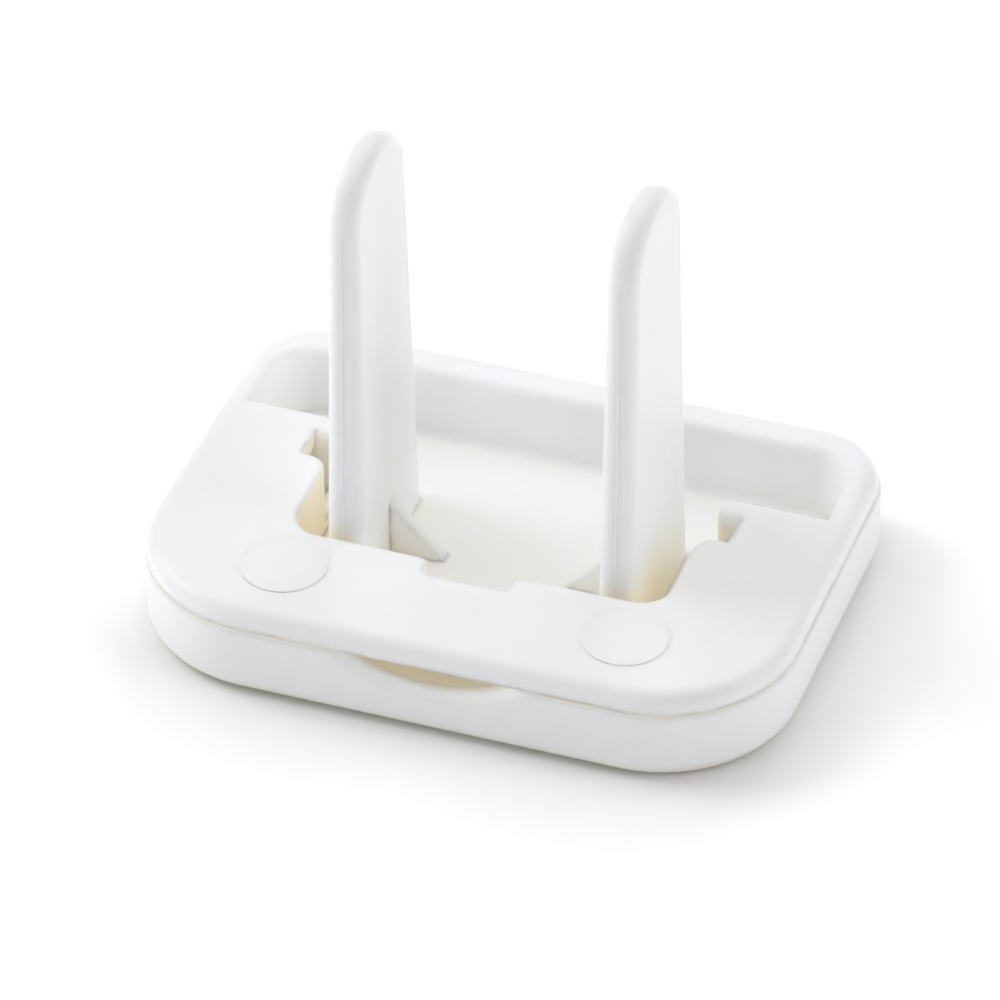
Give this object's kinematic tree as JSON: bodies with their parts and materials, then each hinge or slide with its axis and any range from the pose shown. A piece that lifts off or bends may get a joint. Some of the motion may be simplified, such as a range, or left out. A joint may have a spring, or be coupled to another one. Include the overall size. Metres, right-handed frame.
{
  "type": "outlet safety cover",
  "caption": "White plastic outlet cover: a low rounded-rectangle cap with flat blades standing on its wall side, an open trough and a fingernail notch.",
  "frame": {"origin": "middle of the room-side face, on the surface the cover lies on", "axes": "+Z towards the wall side, along the blades; +X across both blades; -Y towards the fingernail notch"},
  "size_m": [0.0302, 0.0216, 0.0229],
  "materials": {
    "white_plastic": "gloss"
  },
  "bodies": {
    "root": {"prong_plate": "white_plastic", "face_shell": "white_plastic"}
  },
  "joints": []
}
